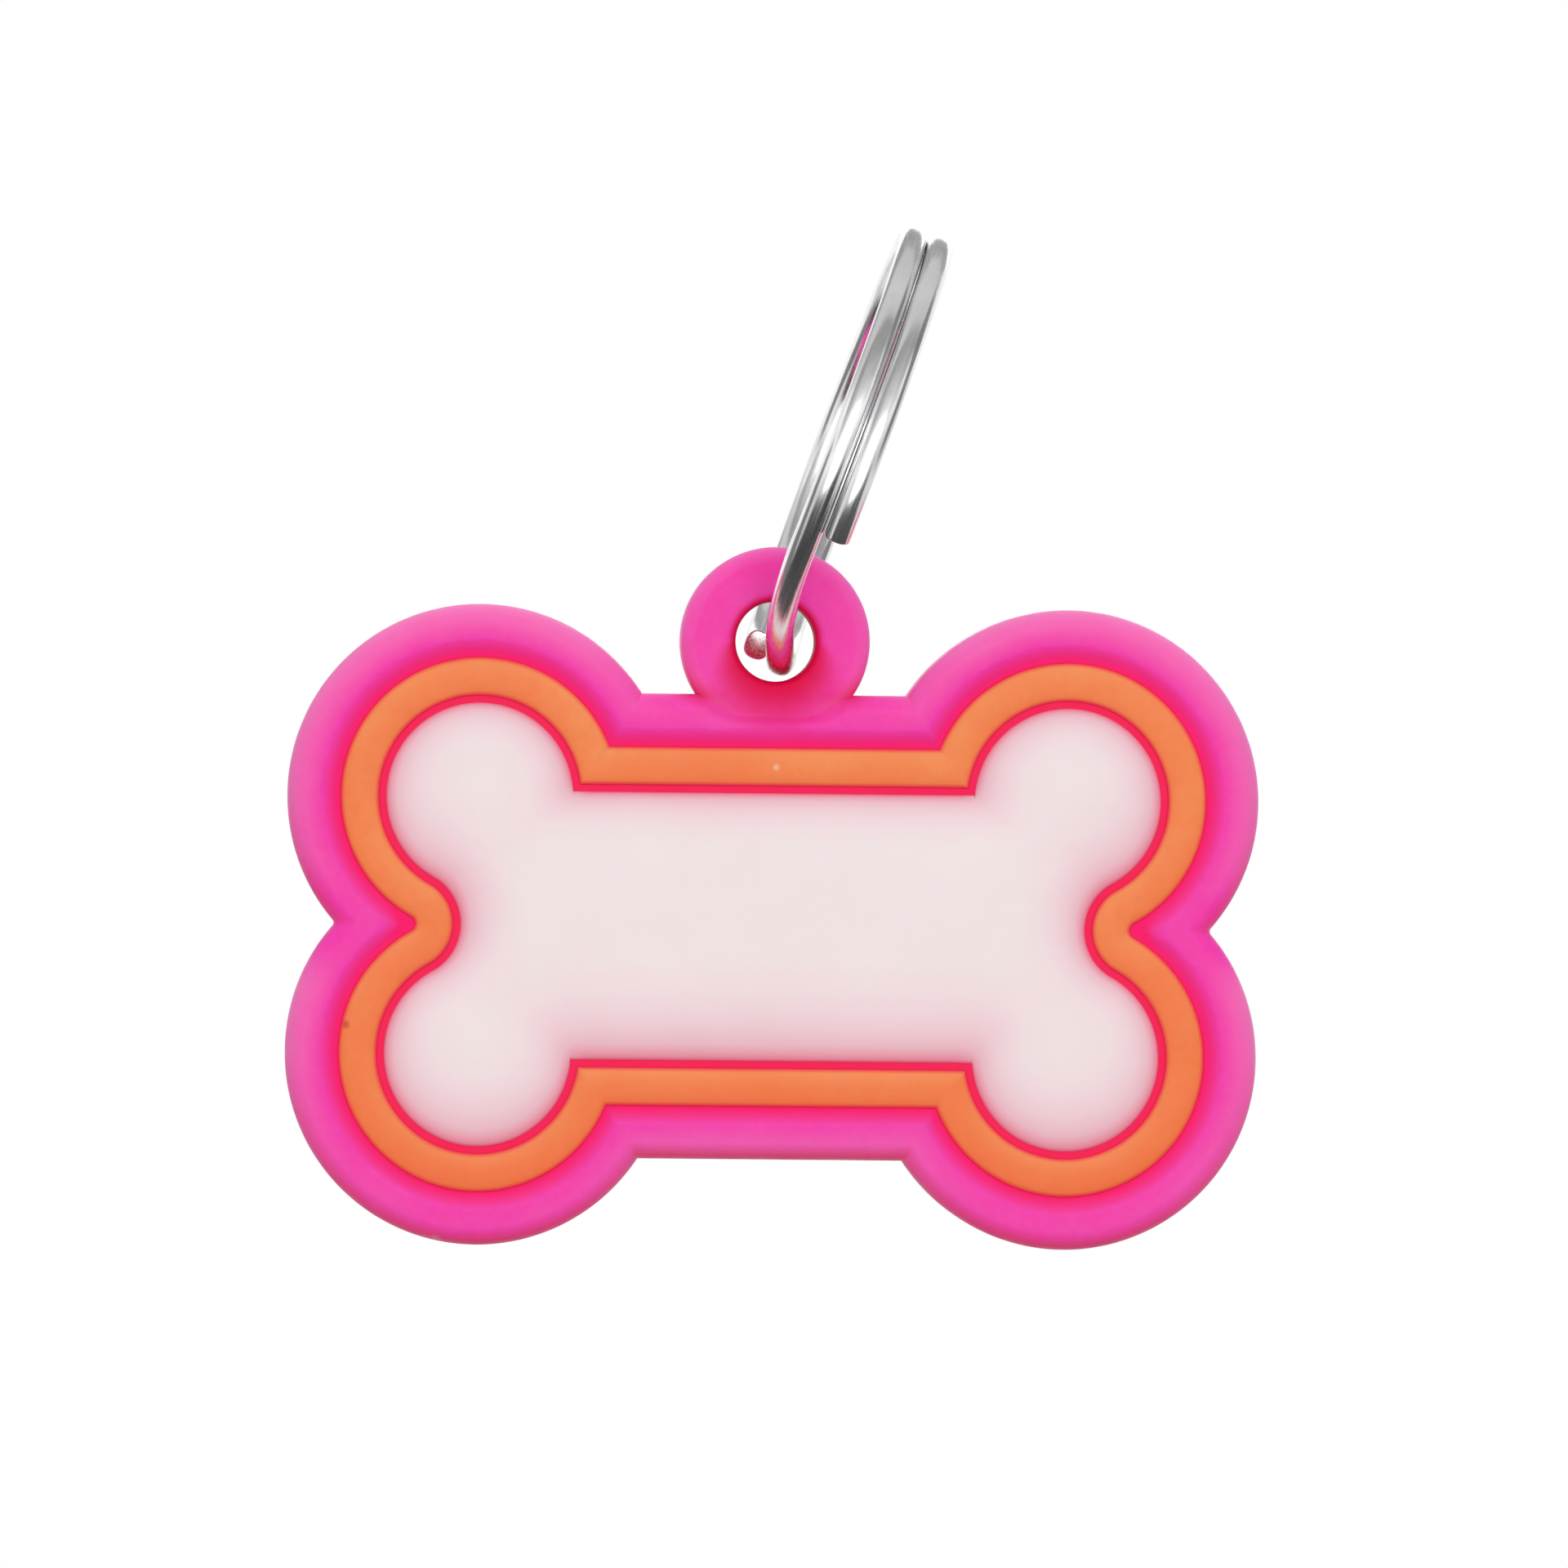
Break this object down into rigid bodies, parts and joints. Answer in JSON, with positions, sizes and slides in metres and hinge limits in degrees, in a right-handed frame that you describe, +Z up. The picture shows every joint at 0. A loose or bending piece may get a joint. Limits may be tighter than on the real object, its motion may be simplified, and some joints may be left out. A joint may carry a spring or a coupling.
{
  "type": "pet id tag",
  "caption": "Bone-shaped soft tag with a raised rim, a coloured band and a domed panel, hanging by its eyelet from a steel split ring that clips to a collar.",
  "frame": {"origin": "highest point of the split ring's inner side, midway between its two lanes, where the ring hangs", "axes": "+Z up, from the hanging tag to the ring; +Y out of the tag's flat back, so the face looks along -Y; +X to the right of the face"},
  "size_m": [0.0414, 0.02, 0.0436],
  "materials": {
    "pink_soft_pvc": "satin, soft to the touch",
    "orange_soft_pvc": "satin, soft to the touch",
    "white_soft_pvc": "satin, slightly milky",
    "plated_steel": "bright nickel plate"
  },
  "bodies": {
    "ring": {"split_ring": "plated_steel"},
    "tag": {"tag_body": "pink_soft_pvc", "orange_band": "orange_soft_pvc", "white_panel": "white_soft_pvc"}
  },
  "joints": [
    {"name": "tag_swing", "type": "hinge", "parent": "ring", "child": "tag", "pos_m": [-0.006, 0, -0.01637], "axis": [0, 1, 0], "range_deg": [-66, 103]}
  ]
}
